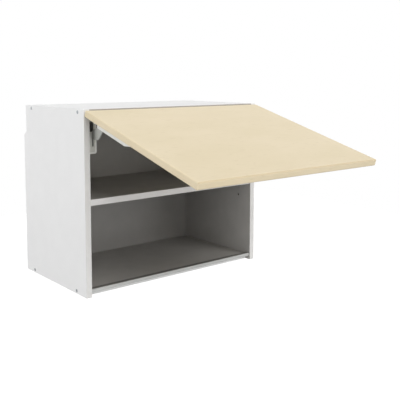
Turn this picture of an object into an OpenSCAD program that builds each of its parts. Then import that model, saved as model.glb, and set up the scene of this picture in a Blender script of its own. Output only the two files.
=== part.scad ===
// Lift up wall cabinet: white carcass, grey inside, one shelf, and a cream door that swings up
// on two concealed single-axis hinges and is held by a stay lift on each side.
// Frame: X to the right seen from the front, Y towards the wall, Z up. The origin lies on the
// wall plane, midway between the side panels, level with their lower ends.
// The model stands with the door open by rest_angle, as in the photograph.

/* [Carcass] */
// Width over both side panels
cabinet_width = 600; // [520:10:900]
// Depth from the wall to the side panels' front edges
cabinet_depth = 350; // [330:5:420]
// Height of the side panels
cabinet_height = 490; // [440:5:640]
// Thickness of the carcass boards
board = 16; // [15:0.5:19]
// Thickness of the edge bands
band = 1; // [0.4:0.1:2]
// How far the bottom panel's front edge lies behind the sides' front edges
bottom_setback = 20; // [15:1:35]
// Thickness of the back panel
back_thickness = 3; // [2.5:0.5:5]
// Gap between the wall and the back panel
back_inset = 20; // [18:1:26]
// Depth of the grooves that hold the back panel
groove_depth = 6; // [4:0.5:8]
// Depth of the side panels' notches for the wall rail
notch_depth = 14; // [10:1:18]
// Height of the side panels' notches
notch_height = 76; // [60:1:100]
// Height of the chamfer under each notch
notch_chamfer = 11; // [6:1:14]

/* [Front strip] */
// How far the strip's face lies behind the sides' front edges
strip_setback = 4; // [2:0.5:8]
// How far the strip's top stands above the bottom panel
strip_rise = 4; // [3.5:0.5:5]
// Height of the strip's face
strip_face = 8.5; // [7:0.5:10]
// Wall of the strip
strip_wall = 1.5; // [1.2:0.1:1.8]
// Depth of the strip's tongue in the bottom panel
strip_tongue = 9; // [6:1:12]
// Thickness of the dark seal in the strip's top
seal_thickness = 2; // [1.6:0.1:2.5]

/* [Shelf] */
// Height of the shelf's underside
shelf_height = 241; // [180:1:290]
// How far the shelf's front edge lies behind the sides' front edges
shelf_setback = 3; // [1:1:20]
// Distance from the front edge to the front row of support holes
support_front = 54; // [37:1:80]
// Distance between the two rows of support holes
support_spacing = 224; // [160:32:224]
// Diameter of a support hole
support_hole = 5; // [4:0.5:7]
// Depth of a support hole
support_hole_depth = 10; // [8:0.5:12]
// Distance from the shelf's underside down to the supports' pins
support_drop = 9; // [8:0.5:11]
// Distance between neighbouring holes in a row
hole_pitch = 32; // [25:1:40]

/* [Carcass fasteners] */
// Diameter of a connecting screw's head
confirmat_head = 9.5; // [8.5:0.5:11]
// Diameter of its shank through the side panel
confirmat_shank = 7; // [6:0.5:8]
// Diameter of its thread in the panel
confirmat_thread = 5.2; // [4.5:0.1:5.8]
// Length of a connecting screw
confirmat_length = 50; // [40:5:60]
// Distance from a panel's front edge to its front connecting screw
confirmat_front = 32.5; // [25:0.5:45]
// Distance from the sides' front edges to the rear connecting screws
confirmat_rear = 300; // [240:5:310]
// Diameter of a wooden dowel
dowel_diameter = 8; // [6:1:8]
// Length of a dowel
dowel_length = 30; // [25:1:32]
// Distance from the sides' front edges to the front dowels
dowel_front = 100; // [80:5:140]
// Distance from the sides' front edges to the rear dowels
dowel_rear = 235; // [190:5:260]

/* [Door] */
// Height of the door panel
door_height = 463; // [420:1:600]
// Thickness of the door panel
door_thickness = 18; // [16:0.5:19]
// Gap between the closed door and the sides' front edges
door_gap = 2; // [1.5:0.1:3]
// Gap from the cabinet's top to the closed door's top edge
door_top_gap = 6.5; // [5:0.1:10]
// How far the door stays back from each outer side face
door_side_gap = 1.8; // [1:0.1:4]
// Radius of the door's edges
door_radius = 3; // [2.5:0.1:4]
// Diameter of a door buffer
buffer_diameter = 8; // [6:0.5:10]
// Distance from the door's lower edge to the lower buffers
buffer_low = 15; // [12:1:40]
// Distance from the door's top edge to the upper buffers
buffer_high = 44; // [38:1:60]
// Opening angle at which the model stands
rest_angle = 74; // [30:1:100]

/* [Door hinges] */
// Distance from each hinge to the nearer outer side face
hinge_inset = 120; // [100:5:130]
// Depth of the hinge axis behind the door's outer face
axis_depth = 10; // [9.8:0.1:10.5]
// Distance from the door's top edge down to the hinge axis
axis_drop = 7.3; // [6.8:0.1:7.5]
// Diameter of a hinge pin
hinge_pin = 4; // [3:0.5:5]
// Width of a hinge arm
arm_width = 10; // [8:0.5:12]
// Outer radius of a hinge arm's eye
arm_eye = 4.8; // [4.2:0.1:4.9]
// Thickness of a hinge arm's neck
arm_neck = 5; // [4:0.5:5.5]
// Thickness of a hinge mounting plate
plate_thickness = 2; // [1.5:0.5:3]
// Distance from the sides' front edges to a hinge mounting plate
plate_setback = 28; // [26:1:34]
// Length of a hinge mounting plate
plate_length = 44; // [40:1:48]
// Wall beside the arm in a hinge cup
cup_wall = 3.5; // [3:0.5:5]
// Height of a hinge cup below the door's top edge
cup_height = 22.5; // [21:0.5:28]
// Door material left in front of a hinge cup
cup_skin = 2; // [1.5:0.1:2.3]
// Thickness of a hinge cup's flange
flange_thickness = 1; // [0.8:0.1:1.2]
// Length of a hinge arm's bar under the mounting plate
arm_length = 69; // [64:1:80]

/* [Stay lifts] */
// Width of a lift housing, from the side panel into the cabinet
lift_width = 29; // [28:0.5:34]
// Distance from the sides' front edges to the housing's front
lift_setback = 15.5; // [15.5:0.5:20]
// Length of a housing along the side panel
lift_length = 144.5; // [144:0.5:170]
// Height of a housing
lift_height = 96; // [94:1:110]
// Gap between the top panel and a housing
lift_top_gap = 4; // [3:0.5:8]
// Wall of the housing cover
cover_wall = 2; // [1.5:0.1:2.5]
// Outer radius of the cover's long edges
cover_radius = 5; // [3:0.5:7]
// Thickness of the steel base plate
base_thickness = 2; // [1.5:0.1:2]
// Distance from the housing's front to the lever's pivot
lever_pivot_back = 52.5; // [52:0.5:56]
// Distance from the underside of the top panel to the lever's pivot
lever_pivot_drop = 27; // [24:1:30]
// Diameter of the lever's pivot pin
lever_pin = 8; // [6:0.5:10]
// Diameter of the pin between lever and link
link_pin = 6; // [5:0.5:7]
// Diameter of the pin in the door bracket
bracket_pin = 5; // [4:0.5:5]
// Thickness of the lever plate
lever_thickness = 6; // [4:0.5:6]
// Thickness of the link plate
link_thickness = 3; // [2:0.5:3]
// Radius of the link's bend
link_bend_radius = 15; // [12:0.5:16]
// Height of the bend's lower edge above the housing's underside
link_rise = 37; // [36:0.5:42]
// Distance from the housing's front to the middle of the bend
link_reach = 22; // [18:0.5:26]
// Height of the cover's wide opening above the housing's underside
window_rise = 57; // [54:1:62]
// Distance from the side panel to that opening
window_inset = 6.5; // [5:0.5:9]

/* [Lift springs] */
// Cam radius to the follower's centre with the door closed
cam_closed = 28; // [26:0.5:30]
// The same radius with the door fully open
cam_open = 16; // [15:0.5:18]
// Radius of the carriage's follower nose
nose_radius = 4; // [3:0.5:4.5]
// Outer diameter of a spring
spring_outer = 12; // [10:0.5:13]
// Wire diameter of a spring
spring_wire = 2; // [1.2:0.1:2.2]
// Turns of a spring
spring_turns = 7; // [5:1:9]
// Diameter of a guide rod inside a spring
guide_rod = 5; // [4:0.5:6]
// Diameter of the adjusting screw
adjuster_diameter = 5; // [4:0.5:6]

/* [Door brackets] */
// Distance from the door's top edge to the bracket's pin
bracket_pin_drop = 47; // [44:1:50]
// Distance from the door's inner face to the bracket's pin
bracket_pin_height = 7; // [6.6:0.1:7.5]
// Length of a door bracket
bracket_length = 164; // [140:1:180]
// Width of a door bracket
bracket_width = 19; // [19:0.5:21]
// Height of a door bracket
bracket_height = 16.8; // [15:0.1:17]
// Height left at the bracket's far end
bracket_tip = 6; // [5:0.5:10]
// Length over which the bracket slopes down to that end
bracket_taper = 34; // [20:1:50]
// Wall of a door bracket
bracket_wall = 2; // [1.5:0.1:2]
// Gap between the side panel and a bracket
bracket_gap = 3; // [3:0.5:4]

/* [Hangers] */
// Height of a hanger housing
hanger_height = 62; // [50:1:70]
// Length of a hanger housing along the side panel
hanger_length = 40; // [34:1:50]
// Width of a hanger housing
hanger_width = 17; // [14:0.5:20]
// Thickness of a hanger's hook
hook_thickness = 8; // [6:0.5:10]

/* [Clearances] */
// Radial running clearance of pins and shafts
running = 0.05; // [0.02:0.01:0.1]
// Gap around fixed pieces that drop into a pocket
fit_gap = 0.1; // [0.05:0.05:0.2]
// Gap between the shelf's ends and the side panels
shelf_gap = 0.5; // [0.3:0.1:1.5]
// Side gap between the lift's moving plates
plate_gap = 0.5; // [0.3:0.1:0.6]

/* [Hidden] */
$fn = 48;
eps = 0.01;
// how far a shank runs on inside its head, so that both are one solid
into_head = 1;
front_y = -cabinet_depth;
half_width = cabinet_width / 2;
inner_half = half_width - board;
hinge_offset = half_width - hinge_inset;
top_underside = cabinet_height - board;
back_front_y = -back_inset - back_thickness;

// door in its closed position
door_inner_y = front_y - door_gap;
door_outer_y = door_inner_y - door_thickness;
door_top = cabinet_height - door_top_gap;
door_bottom = door_top - door_height;
door_half = half_width - door_side_gap;
axis_y = door_outer_y + axis_depth;
axis_z = door_top - axis_drop;
full_angle = 104;

// stay lift: a parallelogram of hinge axis, bracket pin, link pin and lever pivot
bracket_closed = [door_inner_y + bracket_pin_height, door_top - bracket_pin_drop];
crank_closed = bracket_closed - [axis_y, axis_z];
lift_front = front_y + lift_setback;
lift_back = lift_front + lift_length;
lift_top = top_underside - lift_top_gap;
lift_bottom = lift_top - lift_height;
pivot = [lift_front + lever_pivot_back, top_underside - lever_pivot_drop];
crank = turned(crank_closed, rest_angle);
link_end = pivot + crank;
bracket_end = [axis_y, axis_z] + crank;
link_low = lift_bottom + link_rise;
link_bend = [lift_front - link_reach, link_low + link_bend_radius];

// side by side positions inside the lift, measured from the side panel's inner face
lever_x = base_thickness + 8;
link_x = lever_x + lever_thickness + plate_gap;
pack_x = lever_x + lever_thickness;

// front strip: its face stands forward of the bottom panel, its tongue sits in the panel's edge
strip_top = board + strip_rise;
strip_front_y = front_y + strip_setback;
strip_back_y = front_y + bottom_setback;
seal_floor = strip_top - strip_wall;
tongue_low = board / 2 + 2;

// slot in the cover's front, and the guide behind it
slot_rise = 19;
slot_low = lift_bottom + slot_rise;
slot_play = 0.7;
guide_wall = 1.5;
guide_depth = 8;
guide_height = 27;

// cam, follower and spring pack
cam_slope = (cam_closed - cam_open) / full_angle;
cam_rest = cam_closed - cam_slope * rest_angle;
nose_y = pivot[0] + cam_rest;
carriage_front = nose_y + nose_radius;
carriage_depth = 10;
carriage_half = spring_outer + 2;
carriage_back = carriage_front + carriage_depth;
spring_offset = spring_outer / 2 + 1;
abutment_depth = 6;
abutment_y = lift_back - cover_wall - 16 - abutment_depth;
rod_end = abutment_y + abutment_depth + 4;
adjuster_x = lift_width - cover_wall - adjuster_diameter / 2 - 1.5;
adjuster_z = lift_top - cover_wall - adjuster_diameter / 2 - 1.5;
adjuster_head = adjuster_diameter + 3;

// screws of the lift's base plate
base_screw = 4;
base_screw_head = 8;
base_screw_length = 14;
base_screw_inset = 12;
bracket_x = inner_half - bracket_gap;
bracket_top_drop = bracket_pin_drop - 11;
bracket_screw = 3.5;
bracket_screw_head = 7;
bracket_screw_length = 13;
head_height = 2.2;
socket_depth = 2;

// connecting screws and shelf supports
confirmat_head_depth = 3;
confirmat_socket = 4.6;
dowel_in_side = 11;
support_body = 12;
support_plate = 2.5;
support_ledge = 11.5;

// hinge parts
cup_half = arm_width / 2 + 0.5 + cup_wall;
flange_half = 24;
flange_height = 14;
flange_screw_x = 18;
cup_screw = 3.5;
cup_screw_head = 6.4;
cup_screw_length = 12;
arm_top = top_underside - plate_thickness;
arm_depth_z = 8;
knee_y = front_y + 7;
arm_back_y = knee_y + arm_length;
plate_front_y = front_y + plate_setback;
plate_back_y = plate_front_y + plate_length;
plate_half = 20;
plate_screw_x = 14;
plate_screw_length = 14;
arm_screw = 4;
arm_screw_inset = 11;
arm_screw_y = [plate_front_y + arm_screw_inset, plate_back_y - arm_screw_inset];

// hanger parts
hanger_wall = 3;
hanger_step = 18;
hanger_screw_drop = 9;
hanger_screw_reach = 12;
hook_x = 4.5;
hook_half = 9;
setting_screw = 5;
setting_screw_length = 9;
setting_screw_apart = 5;
setting_socket = 2.6;
hanger_top = top_underside - 2;
hanger_back = back_front_y;
hanger_mid_z = hanger_top - hanger_height * 0.45;
hook_slot = 22;
hook_out = 14;
hook_reach = -back_inset + hook_out;
hook_lip = 4;
hook_drop = 16;

// a [y, z] vector swung up and forward by a door angle
function turned(v, angle) = [v[0] * cos(angle) + v[1] * sin(angle),
    v[1] * cos(angle) - v[0] * sin(angle)];

// radius from the lever's pivot to the follower's centre, for a direction on the resting lever
function cam_reach(angle) = cam_closed - cam_slope * (angle + rest_angle);

// point of the cam's edge: the follower's path moved inwards by the nose's radius
function cam_point(angle) = let (r = cam_reach(angle), slope = -cam_slope * 180 / PI,
    along = [slope * cos(angle) - r * sin(angle), slope * sin(angle) + r * cos(angle)],
    unit = along / norm(along))
    [r * cos(angle), r * sin(angle)] + (nose_radius + fit_gap) * [-unit[1], unit[0]];

// turns what is drawn with the closed door to the opening angle at rest
module on_door() {
    translate([0, axis_y, axis_z]) rotate([-rest_angle, 0, 0])
        translate([0, -axis_y, -axis_z]) children();
}

// extrudes a [y, z] outline along X, from x for a width
module across(x, width) {
    translate([x, 0, 0]) rotate([90, 0, 90]) linear_extrude(width) children();
}

// a cylinder along X at a [y, z] point
module rod_x(p, x, length, d) {
    translate([x, p[0], p[1]]) rotate([0, 90, 0]) cylinder(d = d, h = length);
}

// a cylinder along +Y
module rod_y(x, y, z, length, d) {
    translate([x, y, z]) rotate([-90, 0, 0]) cylinder(d = d, h = length);
}

// a cylinder along +Z
module rod_z(x, y, z, length, d) {
    translate([x, y, z]) cylinder(d = d, h = length);
}

// places left-hand parts; the right-hand ones are their mirror image
module side(s) {
    if (s < 0) children();
    else mirror([1, 0, 0]) children();
}

// moves the side panel's inner face to x = 0 for parts of the left lift
module at_left_wall() {
    translate([-inner_half, 0, 0]) children();
}

// heights and depths of the connecting screws and dowels, as [y, z]
confirmats = [[front_y + confirmat_front, cabinet_height - board / 2],
    [front_y + confirmat_rear, cabinet_height - board / 2],
    [front_y + bottom_setback + confirmat_front, board / 2],
    [front_y + confirmat_rear, board / 2]];
dowels = [for (z = [cabinet_height - board / 2, board / 2], y = [dowel_front, dowel_rear]) [front_y + y, z]];

/* ---- carcass ---- */

module confirmat_solid(gap) {
    for (p = confirmats) {
        rod_x(p, -half_width - gap, confirmat_head_depth + gap, confirmat_head + 2 * gap);
        rod_x(p, -half_width + into_head, board - into_head, confirmat_shank + 2 * gap);
        rod_x(p, -inner_half - into_head, confirmat_length - board + into_head + 20 * gap,
            confirmat_thread + 2 * gap);
    }
}

module confirmat_screws() {
    color("silver") for (s = [-1, 1]) side(s) difference() {
        confirmat_solid(0);
        for (p = confirmats)
            rod_x(p, -half_width - eps, socket_depth, confirmat_socket, $fn = 6);
    }
}

module dowel_solid(gap) {
    for (p = dowels)
        rod_x(p, -inner_half - dowel_in_side - gap, dowel_length + 2 * gap,
            dowel_diameter + 2 * running * sign(gap));
}

module wooden_dowels() {
    color("burlywood") for (s = [-1, 1]) side(s) dowel_solid(0);
}

// outline of a side panel in [y, z], with the notch for the wall rail
module side_outline() {
    polygon([[front_y + band, 0], [0, 0], [0, cabinet_height - notch_height - notch_chamfer],
        [-notch_depth, cabinet_height - notch_height], [-notch_depth, cabinet_height],
        [front_y + band, cabinet_height]]);
}

module support_holes() {
    for (y = [support_front, support_front + support_spacing], i = [-1:1])
        rod_x([front_y + y, shelf_height - support_drop + i * hole_pitch],
            -inner_half - support_hole_depth, support_hole_depth + eps, support_hole);
}

module back_groove(half) {
    translate([-half, back_front_y - fit_gap / 2, board - groove_depth])
        cube([2 * half, back_thickness + fit_gap, cabinet_height - 2 * (board - groove_depth)]);
}

module side_panel() {
    difference() {
        across(-half_width, board) side_outline();
        back_groove(inner_half + groove_depth);
        support_holes();
        confirmat_solid(running);
        dowel_solid(1);
        at_left_wall() base_screw_solid(running);
        hanger_screw_solid(running);
    }
}

module side_panel_left() { color("whitesmoke") side_panel(); }

module side_panel_right() { color("whitesmoke") mirror([1, 0, 0]) side_panel(); }

module top_panel() {
    color("whitesmoke") difference() {
        translate([-inner_half, front_y + band, top_underside])
            cube([2 * inner_half, cabinet_depth - band - notch_depth, board]);
        back_groove(inner_half + groove_depth);
        for (s = [-1, 1]) side(s) {
            confirmat_solid(running);
            dowel_solid(1);
        }
        hinge_plate_screw_solid(running);
    }
}

// groove along the bottom panel's front edge for the strip's tongue
module tongue_groove() {
    translate([-inner_half - eps, strip_back_y - eps, tongue_low - fit_gap])
        cube([2 * (inner_half + eps), strip_tongue + 1, strip_wall + 2 * fit_gap]);
}

module bottom_panel() {
    color("whitesmoke") difference() {
        translate([-inner_half, strip_back_y + band, 0])
            cube([2 * inner_half, -strip_back_y - band, board]);
        tongue_groove();
        back_groove(inner_half + groove_depth);
        for (s = [-1, 1]) side(s) {
            confirmat_solid(running);
            dowel_solid(1);
        }
    }
}

module back_panel() {
    reach = groove_depth - 0.5;
    color("gray") difference() {
        translate([-inner_half - reach, back_front_y, board - reach])
            cube([2 * (inner_half + reach), back_thickness, top_underside - board + 2 * reach]);
        for (s = [-1, 1]) side(s)
            translate([-inner_half + 2, back_front_y - eps, hanger_mid_z - hook_slot / 2])
                cube([hanger_width - 2, back_thickness + 2 * eps, hook_slot]);
    }
}

module shelf() {
    color("gray")
        translate([-inner_half + shelf_gap, front_y + shelf_setback + band, shelf_height])
        cube([2 * (inner_half - shelf_gap),
            back_front_y - fit_gap - (front_y + shelf_setback + band), board]);
}

module edge_band_side_left() {
    color("gainsboro") translate([-half_width, front_y, 0]) cube([board, band, cabinet_height]);
}

module edge_band_side_right() {
    color("gainsboro") translate([inner_half, front_y, 0]) cube([board, band, cabinet_height]);
}

module edge_band_top() {
    color("darkgray") translate([-inner_half, front_y, top_underside])
        cube([2 * inner_half, band, board]);
}

module edge_band_shelf() {
    color("gainsboro")
        translate([-inner_half + shelf_gap, front_y + shelf_setback, shelf_height])
        cube([2 * (inner_half - shelf_gap), band, board]);
}

module edge_band_bottom() {
    color("gainsboro") difference() {
        translate([-inner_half, strip_back_y, 0]) cube([2 * inner_half, band, board]);
        tongue_groove();
    }
}

// extruded strip, open below: face, top with a channel for the seal, web and tongue
module bottom_front_strip() {
    low = strip_top - strip_face;
    inner = strip_front_y + strip_wall;
    roof = seal_floor - strip_wall;
    color("silver") across(-inner_half, 2 * inner_half)
        polygon([[strip_front_y, low], [strip_front_y, strip_top], [inner, strip_top],
            [inner, seal_floor], [strip_back_y, seal_floor],
            [strip_back_y, tongue_low + strip_wall],
            [strip_back_y + strip_tongue, tongue_low + strip_wall],
            [strip_back_y + strip_tongue, tongue_low], [strip_back_y, tongue_low],
            [strip_back_y, board / 2], [strip_back_y - strip_wall, board / 2],
            [strip_back_y - strip_wall, roof], [inner, roof], [inner, low]]);
}

// dark soft seal in the strip's top, its upper edges bevelled
module bottom_seal_lip() {
    front = strip_front_y + strip_wall;
    top = seal_floor + seal_thickness;
    color("dimgray") across(-inner_half, 2 * inner_half)
        polygon([[front, seal_floor], [strip_back_y, seal_floor], [strip_back_y, top - 1],
            [strip_back_y - 1, top], [front + 0.5, top], [front, top - 0.5]]);
}

module shelf_supports() {
    z = shelf_height - support_drop;
    color("silver") for (s = [-1, 1]) side(s) at_left_wall()
        for (y = [support_front, support_front + support_spacing]) {
            rod_x([front_y + y, z], 1 - support_hole_depth, support_hole_depth,
                support_hole - 2 * running);
            translate([0, front_y + y - support_body / 2, z - support_body / 2])
                cube([support_plate, support_body, support_drop + support_body / 2]);
            translate([0, front_y + y - support_body / 2, shelf_height - support_plate])
                cube([support_ledge, support_body, support_plate]);
        }
}

/* ---- hangers ---- */

hanger_front = hanger_back - hanger_length;
hanger_screws = [for (z = [hanger_top - hanger_screw_drop,
    hanger_top - hanger_height + hanger_screw_drop]) [hanger_front + hanger_step / 2 + 1, z]];

module hanger_screw_solid(gap) {
    for (p = hanger_screws)
        rod_x(p, -inner_half - hanger_screw_reach, hanger_screw_reach + hanger_wall + into_head,
            base_screw + 2 * gap);
}

module hanger_fixing_screws() {
    color("silver") for (s = [-1, 1]) side(s) {
        hanger_screw_solid(0);
        for (p = hanger_screws)
            rod_x(p, -inner_half + hanger_wall, head_height, base_screw_head);
    }
}

// heights of the two setting screws, above each other
setting_z = [hanger_mid_z - setting_screw_apart, hanger_mid_z + setting_screw_apart];

module hanger_housing() {
    difference() {
        translate([-inner_half, hanger_front, hanger_top - hanger_height])
            cube([hanger_width, hanger_length, hanger_height]);
        for (z = [hanger_top - hanger_height - eps, hanger_top - hanger_step])
            translate([-inner_half + hanger_wall, hanger_front - eps, z])
                cube([hanger_width, hanger_step + 2, hanger_step + eps]);
        translate([-inner_half + hook_x - 0.5, hanger_front + hanger_wall,
            hanger_mid_z - hook_slot / 2])
            cube([hook_thickness + 1, hanger_length, hook_slot]);
        hanger_screw_solid(running);
        for (z = setting_z) rod_y(-inner_half + hook_x + hook_thickness / 2,
            hanger_front - eps, z, hanger_wall + 1, setting_screw + 2 * running);
    }
}

module hanger_housing_left() { color("lightgray") hanger_housing(); }

module hanger_housing_right() { color("lightgray") mirror([1, 0, 0]) hanger_housing(); }

// steel bar that reaches through the back panel and turns down behind the wall rail
module hanger_hook() {
    y0 = hanger_front + setting_screw_length - 1;
    z = hanger_mid_z;
    throat = hanger_back - hook_lip;
    across(-inner_half + hook_x, hook_thickness)
        polygon([[y0, z - hook_half], [throat, z - hook_half], [hanger_back, z - hook_lip],
            [hook_reach - hook_lip, z - hook_lip], [hook_reach - hook_lip, z - hook_drop],
            [hook_reach, z - hook_drop], [hook_reach, z + hook_half - 3],
            [throat, z + hook_half], [y0, z + hook_half]]);
}

module hanger_hook_left() { color("silver") hanger_hook(); }

module hanger_hook_right() { color("silver") mirror([1, 0, 0]) hanger_hook(); }

module hanger_adjusting_screws() {
    x = -inner_half + hook_x + hook_thickness / 2;
    color("silver") for (s = [-1, 1]) side(s) for (z = setting_z) difference() {
        rod_y(x, hanger_front - 1, z, setting_screw_length, setting_screw);
        rod_y(x, hanger_front - 1 - eps, z, socket_depth, setting_socket, $fn = 6);
    }
}

/* ---- door hinges ---- */

module hinge_plate_screw_solid(gap) {
    for (s = [-1, 1], x = [-plate_screw_x, plate_screw_x])
        rod_z(s * hinge_offset + x, (plate_front_y + plate_back_y) / 2,
            arm_top - into_head, plate_thickness + plate_screw_length + into_head,
            cup_screw + 2 * gap);
}

module hinge_mounting_plates() {
    color("silver") difference() {
        for (s = [-1, 1])
            translate([s * hinge_offset - plate_half, plate_front_y, arm_top])
                cube([2 * plate_half, plate_back_y - plate_front_y, plate_thickness]);
        hinge_plate_screw_solid(running);
        for (s = [-1, 1], y = arm_screw_y)
            rod_z(s * hinge_offset, y, arm_top - eps, plate_thickness + 2 * eps,
                arm_screw + 2 * running);
    }
}

module hinge_plate_screws() {
    color("silver") {
        hinge_plate_screw_solid(0);
        for (s = [-1, 1], x = [-plate_screw_x, plate_screw_x])
            rod_z(s * hinge_offset + x, (plate_front_y + plate_back_y) / 2, arm_top - 2,
                2, cup_screw_head);
    }
}

// cranked arm: a bar under the mounting plate, a neck around the top panel's lower front edge
// and an eye on the hinge pin
module hinge_arm(x) {
    axis = [axis_y, axis_z];
    bar_low = arm_top - arm_depth_z;
    knee = [knee_y, bar_low + arm_neck / 2];
    along = (axis - knee) / norm(axis - knee);
    under = [-along[1], along[0]] * arm_neck / 2;
    low_corner = knee + under - along * (knee[1] + under[1] - bar_low) / along[1];
    color("silver") difference() {
        across(x - arm_width / 2, arm_width) {
            polygon([axis + under, low_corner, [arm_back_y, bar_low], [arm_back_y, arm_top],
                [knee_y + arm_neck + 6, arm_top], knee - under, axis - under]);
            translate(axis) circle(r = arm_eye);
        }
        rod_x(axis, x - arm_width, 2 * arm_width, hinge_pin + 2 * running);
        for (y = arm_screw_y) rod_z(x, y, bar_low - eps, arm_depth_z + 2 * eps,
            arm_screw + 2 * running);
    }
}

module hinge_arm_left() { hinge_arm(-hinge_offset); }

module hinge_arm_right() { hinge_arm(hinge_offset); }

module hinge_arm_screws() {
    color("dimgray") for (s = [-1, 1], y = arm_screw_y) difference() {
        union() {
            rod_z(s * hinge_offset, y, arm_top - arm_depth_z - 2, 2, arm_screw + 3.4);
            rod_z(s * hinge_offset, y, arm_top - arm_depth_z - 0.4,
                arm_depth_z + plate_thickness + 0.4, arm_screw);
        }
        rod_z(s * hinge_offset, y, arm_top - arm_depth_z - 2 - eps, 1.5, 2.6, $fn = 6);
    }
}

// the closed door's outline in [y, z], with rounded edges
module door_outline() {
    r = door_radius;
    for (y = [door_outer_y + r, door_inner_y - r], z = [door_bottom + r, door_top - r])
        translate([y, z]) circle(r = r);
    translate([door_outer_y + r, door_bottom]) square([door_thickness - 2 * r, door_height]);
    translate([door_outer_y, door_bottom + r]) square([door_thickness, door_height - 2 * r]);
}

// the closed door's outline in [x, y]
module door_plan() {
    r = door_radius;
    for (x = [-door_half + r, door_half - r], y = [door_outer_y + r, door_inner_y - r])
        translate([x, y]) circle(r = r);
    translate([-door_half, door_outer_y + r])
        square([2 * door_half, door_thickness - 2 * r]);
    translate([-door_half + r, door_outer_y])
        square([2 * (door_half - r), door_thickness]);
}

module cup_pocket(x, gap) {
    translate([x - cup_half - gap, door_outer_y + cup_skin, door_top - cup_height - gap])
        cube([2 * (cup_half + gap), door_thickness, cup_height + 2]);
}

module cup_screw_solid(x, gap) {
    for (dx = [-flange_screw_x, flange_screw_x])
        rod_y(x + dx, door_inner_y + flange_thickness - cup_screw_length,
            door_top - cup_height + flange_height / 2, cup_screw_length + 0.4,
            cup_screw + 2 * gap);
}

module door_panel() {
    color("wheat") on_door() difference() {
        intersection() {
            across(-door_half, 2 * door_half) door_outline();
            translate([0, 0, door_bottom]) linear_extrude(door_height) door_plan();
        }
        for (s = [-1, 1]) {
            cup_pocket(s * hinge_offset, fit_gap);
            cup_screw_solid(s * hinge_offset, running);
            side(s) bracket_screw_solid(running);
        }
    }
}

module door_buffers() {
    color("lightgray") on_door() for (s = [-1, 1], z = [door_bottom + buffer_low, door_top - buffer_high])
        rod_y(s * (half_width - board / 2), door_inner_y, z, door_gap - fit_gap,
            buffer_diameter);
}

// zinc cup sunk in the door, open inwards and upwards around the arm
module hinge_cup(x) {
    color("silver") on_door() difference() {
        union() {
            intersection() {
                cup_pocket(x, 0);
                across(x - cup_half, 2 * cup_half) door_outline();
            }
            translate([x - flange_half, door_inner_y, door_top - cup_height])
                cube([2 * flange_half, flange_thickness, flange_height]);
        }
        translate([x - arm_width / 2 - 0.5, door_outer_y + cup_skin + 0.8,
            door_top - cup_height + 4])
            cube([arm_width + 1, door_thickness + 2, cup_height]);
        rod_x([axis_y, axis_z], x - cup_half - eps, 2 * cup_half + 2 * eps, hinge_pin);
        cup_screw_solid(x, running);
    }
}

module hinge_cup_left() { hinge_cup(-hinge_offset); }

module hinge_cup_right() { hinge_cup(hinge_offset); }

module hinge_cup_screws() {
    color("silver") on_door() for (s = [-1, 1]) {
        cup_screw_solid(s * hinge_offset, 0);
        for (dx = [-flange_screw_x, flange_screw_x])
            rod_y(s * hinge_offset + dx, door_inner_y + flange_thickness,
                door_top - cup_height + flange_height / 2, 0.7, cup_screw_head);
    }
}

module hinge_pins() {
    color("darkgray") for (s = [-1, 1])
        rod_x([axis_y, axis_z], s * hinge_offset - cup_half, 2 * cup_half, hinge_pin);
}

/* ---- door brackets ---- */

// distances from the door's top edge to the bracket's screws
bracket_screws = [for (i = [1:3]) bracket_top_drop + bracket_length * (i + 0.15) / 4];

module bracket_screw_solid(gap) {
    for (d = bracket_screws)
        rod_y(-bracket_x + bracket_width / 2, door_inner_y + bracket_wall - bracket_screw_length,
            door_top - d, bracket_screw_length + into_head, bracket_screw + 2 * gap);
}

// channel screwed to the door's inner face, sloping down towards its far end
module door_bracket() {
    low = door_top - bracket_top_drop - bracket_length;
    high = door_top - bracket_top_drop;
    pin = bracket_closed;
    difference() {
        across(-bracket_x, bracket_width)
            polygon([[door_inner_y, low], [door_inner_y + bracket_tip, low],
                [door_inner_y + bracket_height, low + bracket_taper],
                [door_inner_y + bracket_height, high - 3],
                [door_inner_y + bracket_height - 3, high], [door_inner_y, high]]);
        translate([-bracket_x + bracket_wall, door_inner_y + bracket_wall, low - eps])
            cube([bracket_width - 2 * bracket_wall, bracket_height, bracket_length + 1]);
        rod_x(pin, -bracket_x - eps, bracket_width + 2 * eps, bracket_pin);
        bracket_screw_solid(running);
    }
    spacer = link_x - plate_gap - bracket_gap;
    difference() {
        rod_x(pin, -bracket_x + bracket_wall - eps, spacer - bracket_wall, bracket_pin + 3);
        rod_x(pin, -bracket_x, spacer + 1, bracket_pin);
    }
}

module door_bracket_left() { color("gainsboro") on_door() door_bracket(); }

module door_bracket_right() {
    color("gainsboro") mirror([1, 0, 0]) on_door() door_bracket();
}

module door_bracket_screws() {
    color("silver") for (s = [-1, 1]) side(s) on_door() {
        bracket_screw_solid(0);
        for (d = bracket_screws)
            rod_y(-bracket_x + bracket_width / 2, door_inner_y + bracket_wall,
                door_top - d, 2, bracket_screw_head);
    }
}

module door_bracket_pins() {
    color("darkgray") for (s = [-1, 1]) side(s)
        rod_x(bracket_end, -bracket_x - 0.6, bracket_width + 1.2, bracket_pin);
}

/* ---- stay lifts ---- */

// places of the base plate's screws and of the posts that carry the cover, as [y, z]
base_screws = [for (y = [lift_front + base_screw_inset, lift_back - base_screw_inset],
    z = [lift_bottom + base_screw_inset, lift_top - base_screw_inset]) [y, z]];
posts = [[lift_front + 26, lift_bottom + 9], [lift_back - 26, lift_bottom + 9]];

module base_screw_solid(gap) {
    for (p = base_screws)
        rod_x(p, base_thickness - base_screw_length, base_screw_length + into_head,
            base_screw + 2 * gap);
}

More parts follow.
